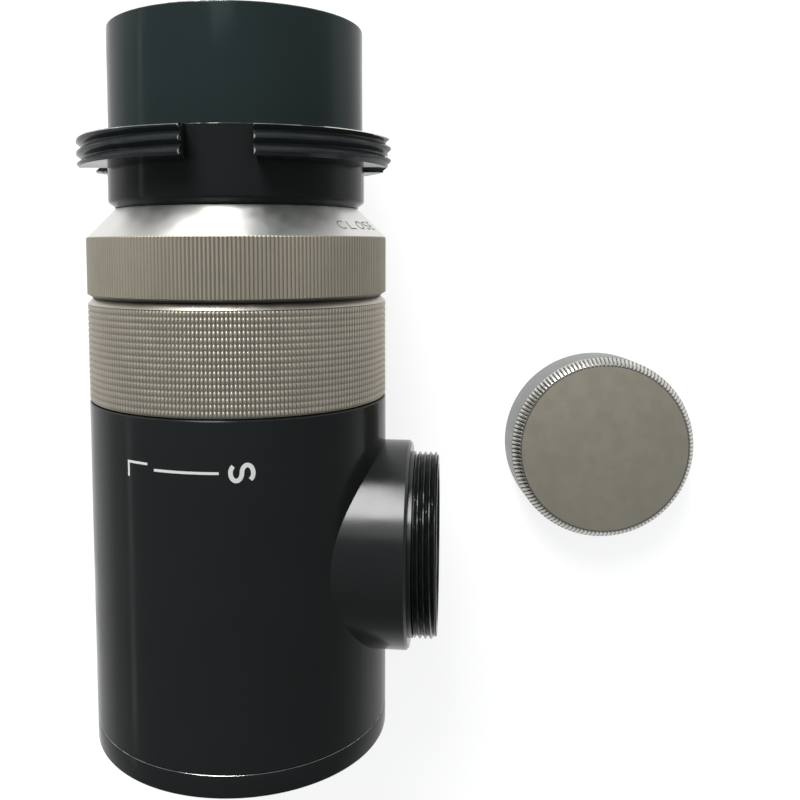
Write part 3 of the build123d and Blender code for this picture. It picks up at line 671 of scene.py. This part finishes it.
CONE_START = 101.3
TOOTH = 0.16
LOCK_CREST_START = LOCK_START + 0.35
LOCK_ROOT_R = BODY_R - TOOTH
HUB_FLANGE_END = LOCK_START + 2.4
HUB_FLANGE_HOLE_R = 28.05
HUB_HOLE_R = 26.05
COLLET_ROOM_START = 100.3
COLLET_ROOM_R = 25.7
TAPER_START, TAPER_END = 103, 105.4     # inner cone that squeezes the collet
TAPER_END_R = 23.3
LOCK_MOUTH_R = 22.75
lock_rear = [
    (LOCK_START, HUB_FLANGE_HOLE_R),
    (LOCK_START, BODY_R - 0.45, 0.05),
    (LOCK_CREST_START - 0.08, LOCK_ROOT_R - HAIR),
]
lock_teeth_ends = (
    LOCK_CREST_START - 0.05,
    LOCK_CREST_START,
    CONE_START - 0.05,
    CONE_START,
    CONE_START + TOOTH,
)
lock_front = [
    (CONE_START + TOOTH + 0.01, LOCK_ROOT_R - 0.01),
    (LOCK_END, BODY_R - (LOCK_END - CONE_START), 0.1),
    (LOCK_END, LOCK_MOUTH_R, 0.1),
    (TAPER_END, LOCK_MOUTH_R),
    (TAPER_END, TAPER_END_R),
    (TAPER_START, COLLET_ROOM_R),
    (COLLET_ROOM_START, COLLET_ROOM_R),
    (COLLET_ROOM_START, HUB_HOLE_R),
    (HUB_FLANGE_END, HUB_HOLE_R),
    (HUB_FLANGE_END, HUB_FLANGE_HOLE_R),
]
lock_teeth = np.tile(FLAT_TOOTH, TEETH)[None, :]
lock = shape(
    "lock_ring_detail",
    BARREL,
    plain(lock_rear),
    toothed(lock_teeth_ends, (BODY_R,) * 4 + (LOCK_ROOT_R,), (LOCK_ROOT_R,) * 5, lock_teeth),
    plain(lock_front),
    angle=columns_for(TEETH, len(FLAT_TOOTH)),
)
stand_for("lock_ring", lock)
repaint(lock, SILVER_CONE, lambda centre: centre.x > (CONE_START + TOOTH) * MM)


# ---------------------------------------------------------------- nosepiece
# The CAD's groove for the spigot clip is left out of the base, so the hidden clip cuts into it.
GAPS = 4                    # in the interrupted thread of the flange
HALF_GAP = 6.3
GAP_COLUMNS = 12
SEGMENT_COLUMNS = 80
LOWER_TUBE_R = NOSE_R + 0.3
SPIGOT_R = 22.6
SPIGOT_BORE_R = 20.8
NECK_R = 24.5               # groove between the lock ring and the lower tube
JOINT_R = 24                # thread that joins the tube to the base
JOINT_START = 112
FLANGE_R = math.hypot(cad_box[0].z / MM, HALF_GAP)
FLANGE_START = FLANGE_END - 6
FLANGE_PITCH = 2.3
LAST_CREST = FLANGE_END - 0.7
CREST_DEPTH = 1.0
CREST_FLAT = 0.3            # how much higher sharp crests would be, as a share of that depth
ROOT_FLAT = 0.15            # the same for the roots
REAR_EDGE = 0.5
FRONT_CONE = 0.65           # length of the thread's front face
FRONT_SLOPE = 8.5           # how steeply it falls to the tube


def base_angles(radius):
    """The angle of every column, where segments of a radius stand between the parallel gaps."""
    gap = math.asin(HALF_GAP / LOWER_TUBE_R)
    edge = np.arcsin(HALF_GAP / radius)
    across_gap = gap * np.linspace(-1, 1, GAP_COLUMNS)[None, :] + 0 * edge
    across_segment = edge + (TURN / GAPS - 2 * edge) * np.linspace(0, 1, SEGMENT_COLUMNS)[None, :]
    parts = []
    for number in range(GAPS):
        start = number * TURN / GAPS
        parts += [start + across_gap, start + across_segment]
    return np.concatenate(parts, axis=1)


def tube_columns(part):
    """The same for a part with no segments."""
    return base_angles(np.full((len(part[0]), 1), LOWER_TUBE_R))


below = plain(
    [
        (SPIGOT_START, SPIGOT_BORE_R),
        (SPIGOT_START, SPIGOT_R, 0.2),
        (LOCK_END + 0.1, SPIGOT_R),
        (LOCK_END + 0.1, NECK_R),
        (LOCK_END + 0.4, NECK_R, 0.1),
        (LOCK_END + 1.2, LOWER_TUBE_R, 0.5),
        (FLANGE_START, LOWER_TUBE_R),
    ]
)
below[2] = 0 * below[2]     # nothing is worn there
inside = plain(
    [
        (FLANGE_END, JOINT_R),
        (JOINT_START, JOINT_R),
        (JOINT_START, SPIGOT_BORE_R),
        (SPIGOT_START, SPIGOT_BORE_R),
    ]
)

# The first row of the flange is the foot of its rear face. The thread is cut from the others.
flange_x = np.concatenate(([FLANGE_START], np.linspace(FLANGE_START, FLANGE_END, 49)))[:, None]
edge_drop = np.maximum(REAR_EDGE - (flange_x - FLANGE_START), 0)
edge_drop += FRONT_SLOPE * np.maximum(FRONT_CONE - (FLANGE_END - flange_x), 0)
crest_angle = base_angles(np.full_like(flange_x, FLANGE_R)) - TURN / GAPS
phase = ((flange_x - LAST_CREST) / FLANGE_PITCH - crest_angle / TURN) % 1.0
flank = (1 + CREST_FLAT + ROOT_FLAT) * np.abs(2 * phase - 1) - ROOT_FLAT
valley = 1 - np.clip(flank, 0, 1)
segment_r = np.minimum(FLANGE_R - CREST_DEPTH * valley, FLANGE_R - edge_drop)
segment_r[0] = LOWER_TUBE_R
segment_r = np.maximum(segment_r, LOWER_TUBE_R)
in_segment = np.tile(np.repeat((0.0, 1.0), (GAP_COLUMNS, SEGMENT_COLUMNS)), GAPS)[None, :]
flange_r = LOWER_TUBE_R + (segment_r - LOWER_TUBE_R) * in_segment

# The wear: a little on the crests, more along the front edge and where a segment ends.
front_edge = np.abs(FLANGE_END - FRONT_CONE - flange_x) < 0.1
segment_end = in_segment * (2 - np.roll(in_segment, 1, axis=1) - np.roll(in_segment, -1, axis=1))
flange_wear = 0.4 * in_segment * np.clip(1 - 2.5 * valley, 0, 1) + 1.1 * in_segment * front_edge
flange_wear = np.maximum(flange_wear, segment_end * (1 - valley))
flange_wear[0] = 0
flange_wear[-1] = 0.95

columns = flange_r.shape[1]
along, radius, wear_and_shade = stack(columns, below, (flange_x, flange_r, flange_wear), inside)
flange_columns = base_angles(segment_r.mean(axis=1, keepdims=True))
angle = np.concatenate((tube_columns(below), flange_columns, tube_columns(inside)))
base = skin("nosepiece_base_detail", BARREL, along, radius, angle, wear_and_shade)
stand_for("nosepiece_base", base)
# The flange's thread takes the lighter black, painted light against the shade on its flanks.
repaint(base, BLACK_THREAD_PAINTED_LIGHT, lambda centre: centre.yz.length > (LOWER_TUBE_R + 0.1) * MM)

NOSE_BORE_R = 23
NOSE_SEAT = 126
FILTER_THREAD_START = 137.5
tube_outline = [
    (FILTER_THREAD_START, NOSE_BORE_R),
    (NOSE_SEAT, NOSE_BORE_R),
    (NOSE_SEAT, NOSE_BORE_R - LIP),
    (TUBE_START, NOSE_BORE_R - LIP),
    (TUBE_START, JOINT_R),
    (FLANGE_END, JOINT_R),
    (FLANGE_END, NOSE_R, 0.15),
    (NOSE_END, NOSE_R, 0.4),
    (NOSE_END, FILTER_R + 0.6, 0.1),
    (NOSE_END - 0.2, FILTER_R + 0.45),
]
filter_stations = np.linspace(NOSE_END - 0.3, FILTER_THREAD_START + 0.1, 60)
tube = shape(
    "nosepiece_tube_detail",
    BARREL,
    plain(tube_outline),
    thread(filter_stations, ROUND, FILTER_R, -0.42, FINE_PITCH, FADE),
)
stand_for("nosepiece_tube", tube)


def concave(name, node, hollow):
    """A plano-concave lens: a flat rear face and a front face hollowed by a depth."""
    start, end = ends(node)
    rim = reach(node)
    face = [(end - hollow * (1 - part**2), rim * part) for part in np.linspace(1, 0, 12)]
    lens = shape(name, BARREL, plain([(start, 0), (start, rim), *face]), closed=False)
    stand_for(node, lens)


concave("nose_lens_detail", "nose_lens", 1.2)
concave("rear_lens_detail", "rear_lens", 1.0)


# ---------------------------------------------------------------- cap
CAP_TEETH = 136
CAP_TOOTH = 0.45
CAP_FACE_R = 19.75
FACE_EDGE_R = CAP_FACE_R - CAP_TOOTH    # where the teeth's roots reach the face
BEVEL_START = CAP_HEIGHT - 1.8
BEVEL_END = CAP_HEIGHT - 0.6
BEVEL_END_R = CAP_FACE_R + 0.65
CAP_ROOF = CAP_HEIGHT - 2
CAP_BORE_R = NIPPLE_R + 0.1
cap_angle = columns_for(CAP_TEETH, len(FLAT_TOOTH))
cap_stations = np.linspace(CAP_ROOF - 0.7, 0.6, 100)
cap_side = [
    (0.5, CAP_BORE_R + 0.4),
    (0, CAP_BORE_R + 0.7),
    (0, CAP_R, 0.3),
    (BEVEL_START - 0.3, CAP_R),
    (BEVEL_START - 0.28, CAP_R - 0.02),
]
cap_teeth_ends = (BEVEL_START - 0.25, BEVEL_START, BEVEL_END, CAP_HEIGHT - 0.02)
cap_crests = (CAP_R - 0.03, CAP_R - 0.05, BEVEL_END_R, CAP_FACE_R)
cap_roots = (CAP_R - 0.05, CAP_R - CAP_TOOTH, BEVEL_END_R - CAP_TOOTH, FACE_EDGE_R)
cap_face = [
    (CAP_HEIGHT - 0.01, FACE_EDGE_R - 0.01),
    (CAP_HEIGHT, FACE_EDGE_R - 0.1),
    (CAP_HEIGHT, 0),
]
cap = shape(
    "port_cap_detail",
    CAP,
    plain([(CAP_ROOF, 0), (CAP_ROOF, CAP_BORE_R), (CAP_ROOF - 0.5, CAP_BORE_R)]),
    thread(cap_stations, cap_angle, CAP_BORE_R, -0.6, PORT_PITCH, FADE),
    plain(cap_side),
    toothed(cap_teeth_ends, cap_crests, cap_roots, np.tile(FLAT_TOOTH, CAP_TEETH)[None, :]),
    plain(cap_face),
    angle=cap_angle,
    closed=False,
)
stand_for("port_cap", cap)
SKIRT_TOP = CAP_LOW.z + (BEVEL_START - 0.2) * MM
RIM_INSIDE = (FACE_EDGE_R - 0.05) * MM


def on_rim(centre):
    """Whether a place on the cap is on its toothed bevel."""
    return centre.z > SKIRT_TOP and (centre.xy - Vector(CAP_FOOT[:2])).length > RIM_INSIDE


# The cap's side gets the darker silver, painted shade.
repaint(cap, SILVER_SKIRT_PAINTED_SHADE, lambda centre: centre.z < SKIRT_TOP)
# The toothed bevel gets a painted highlight on its crests and painted shade in its roots.
repaint(cap, SILVER_RIM_PAINTED_LIGHT, on_rim)


# ---------------------------------------------------------------- marks
def arc(centre, size, start, end, steps=14):
    """Points on part of an ellipse, with angles in degrees."""
    (x, y), (width, height) = centre, size
    turns = [math.radians(start + (end - start) * part / steps) for part in range(steps + 1)]
    return [(x + width * math.cos(turn), y + height * math.sin(turn)) for turn in turns]


# The lines of each letter, for a height of 1.
LETTERS = {
    "C": [arc((0.42, 0.5), (0.42, 0.5), 48, 312, 24)],
    "L": [[(0, 1), (0, 0), (0.68, 0)]],
    "O": [arc((0.42, 0.5), (0.42, 0.5), 0, 360, 32)],
    "S": [arc((0.36, 0.75), (0.36, 0.25), 30, 270) + arc((0.36, 0.25), (0.36, 0.25), 90, -150)[1:]],
    "E": [[(0.65, 1), (0, 1), (0, 0), (0.65, 0)], [(0, 0.52), (0.58, 0.52)]],
    "P": [
        [(0, 0), (0, 1), (0.36, 1), *arc((0.36, 0.74), (0.3, 0.26), 90, -90, 12)[1:], (0, 0.48)]
    ],
    "N": [[(0, 0), (0, 1), (0.72, 0), (0.72, 1)]],
}


def sized(letter, width, height, start=0.0):
    """A letter's lines, made a width and height."""
    return [[(start + x * width, y * height) for x, y in line] for line in LETTERS[letter]]


def fine(line, longest=0.3):
    """A line of points with more of them along its longer runs."""
    points = [Vector(line[0])]
    for end in line[1:]:
        start = points[-1]
        run = Vector(end) - start
        count = math.ceil(run.length / longest)
        points += [start + run * (part + 1) / count for part in range(count)]
    return points


def ribbon(line, width, place, lift=0.02, depth=0.05):
    """A thin closed strip along a line of (right, up) points. place() puts it on its surface."""
    line = fine(line)
    rows = []
    for number, point in enumerate(line):
        before = point - line[max(number - 1, 0)]
        after = line[min(number + 1, len(line) - 1)] - point
        ways = [way.normalized() for way in (before, after) if way.length > 0]
        heading = sum(ways, Vector((0, 0))).normalized()
        side = Vector((-heading.y, heading.x)) * (width / 2 / max(heading.dot(ways[0]), 0.35))
        corners = ((side, lift), (-side, lift), (-side, -depth), (side, -depth))
        rows.append([place(point + aside, height) for aside, height in corners])
    points = [corner for row in rows for corner in row]
    faces = [(0, 1, 2, 3), tuple(len(points) - 4 + corner for corner in (3, 2, 1, 0))]
    for row in range(len(rows) - 1):
        for corner in range(4):
            near, far = 4 * row + corner, 4 * row + (corner + 1) % 4
            faces.append((near, near + 4, far + 4, far))
    return points, faces


def mark(name, lines, width, place, finish, body):
    """One piece from several ribbons."""
    points, faces = [], []
    for line in lines:
        more_points, more_faces = ribbon(line, width, place)
        faces += [tuple(corner + len(points) for corner in face) for face in more_faces]
        points += more_points
    piece = add_mesh(name, np.array(points), faces)
    piece.data.materials.append(finish)
    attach(piece, body)


def on_scale(first_angle, station):
    """Letters on the barrel with their tops towards -Y, from some degrees past its top."""

    def place(point, lift):
        turn = math.radians(90 + first_angle) + point.y / BODY_R
        radius = (BODY_R + lift) * MM
        return ((station - point.x) * MM, radius * math.cos(turn), radius * math.sin(turn))

    return place


def on_cone(first_angle, foot):
    """Letters on the lock ring's cone with their tops forwards, from some degrees past its top."""

    def place(point, lift):
        along = foot + point.y * math.sqrt(0.5)
        radius = BODY_R - (along - CONE_START) + lift * math.sqrt(2)
        turn = math.radians(90 + first_angle) + point.x / (BODY_R - foot + CONE_START)
        return (along * MM, radius * math.cos(turn) * MM, radius * math.sin(turn) * MM)

    return place


SCALE_LINE = BODY_R * math.radians(23.4)
SCALE = {                   # lines, width of the stroke, first angle and station
    "scale_short": (sized("S", 3.9, 4.0), 0.8, 3.0, 61.4),
    "scale_long": (sized("L", 4.0, 4.57), 0.45, -35.7, 60.9),
    "scale_line": ([[(0, 0), (0, SCALE_LINE)]], 0.48, -24.3, 59.95),
}
for name, (lines, stroke, first_angle, station) in SCALE.items():
    mark(name, lines, stroke, on_scale(first_angle, station), FINISHES["white_paint"], "barrel")

WORD_FOOT = 102.9
LETTER_HEIGHT = 1.9
LETTER_WIDTH = 2.6
LETTER_STEP = 3.1
WORD_STROKE = 0.3
# The engraved words are dark strips laid on the cone, painted shade of the engraving.
for word, first_angle in (("CLOSE", 47.5), ("OPEN", 107.0)):
    lines = []
    for number, letter in enumerate(word):
        lines += sized(letter, LETTER_WIDTH, LETTER_HEIGHT, number * LETTER_STEP)
    place = on_cone(first_angle, WORD_FOOT)
    mark("word_" + word.lower(), lines, WORD_STROKE, place, FINISHES["dark_filling"], "lock")
